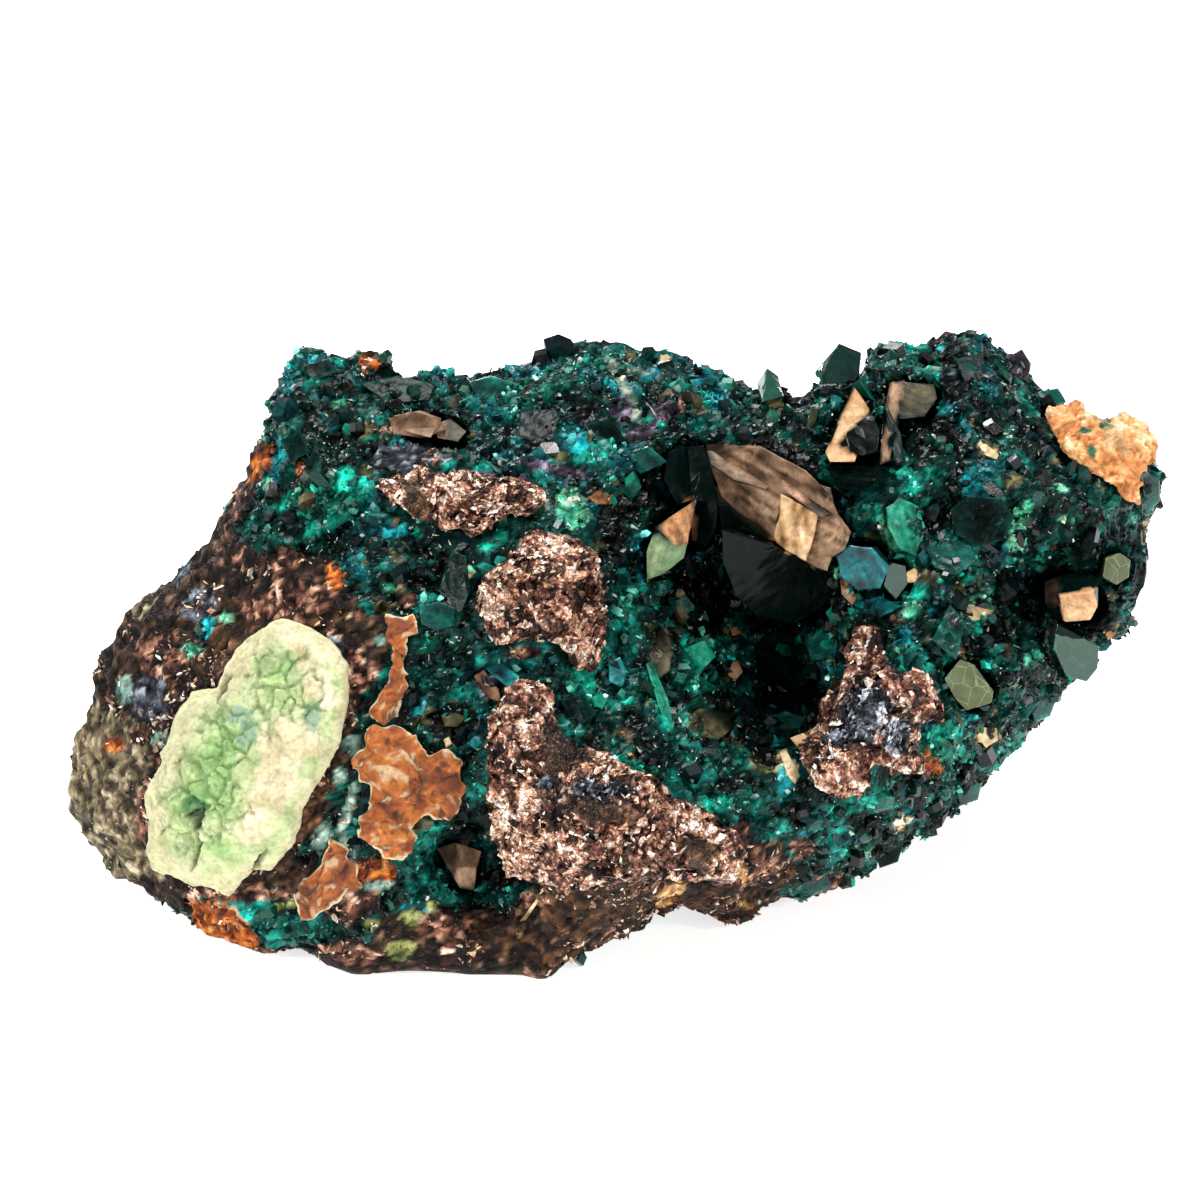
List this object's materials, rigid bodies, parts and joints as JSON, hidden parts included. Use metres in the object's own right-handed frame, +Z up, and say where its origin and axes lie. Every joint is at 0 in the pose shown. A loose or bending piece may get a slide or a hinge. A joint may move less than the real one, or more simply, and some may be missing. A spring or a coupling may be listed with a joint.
{
  "type": "dioptase mineral specimen",
  "caption": "Rough block of brown gossan crusted with emerald-green dioptase crystals, with bronze, ochre and pale green patches; a display mineral that rests on its flat underside.",
  "frame": {"origin": "middle of the underside of the specimen's box, on the surface that it rests on", "axes": "+Z up as it rests, +X along its longest extent towards the ochre knob, the crystal face towards -Y"},
  "size_m": [0.081, 0.0466, 0.0369],
  "materials": {
    "gossan": "rough brown-black iron oxide under a drusy blue-green skin",
    "green_crust": "matte, cracked, chalky",
    "ochre": "matte, earthy",
    "bronze_crust": "glittering, sub-metallic",
    "dioptase": "glassy deep emerald",
    "pale_dioptase": "glassy pale olive"
  },
  "bodies": {
    "root": {"gossan_rock": "gossan", "green_crust_slab": "green_crust", "ochre_crust_main": "ochre", "ochre_crust_strip": "ochre", "ochre_crust_foot": "ochre", "ochre_knob": "ochre", "bronze_crust_upper": "bronze_crust", "bronze_crust_middle": "bronze_crust", "bronze_crust_lower": "bronze_crust", "bronze_crust_right": "bronze_crust", "pocket_roof_crystals": "dioptase", "pocket_left_crystals": "dioptase", "arrow_crystals": "dioptase", "blade_crystals": "dioptase", "ridge_crystals": "dioptase", "ridge_left_crystal": "dioptase", "plate_crystals": "dioptase", "right_pocket_crystal": "dioptase", "rim_crystals": "dioptase", "low_pocket_crystal": "dioptase", "emerald_blocks": "dioptase", "right_olive_crystal": "pale_dioptase", "olive_crystal": "pale_dioptase"}
  },
  "joints": []
}
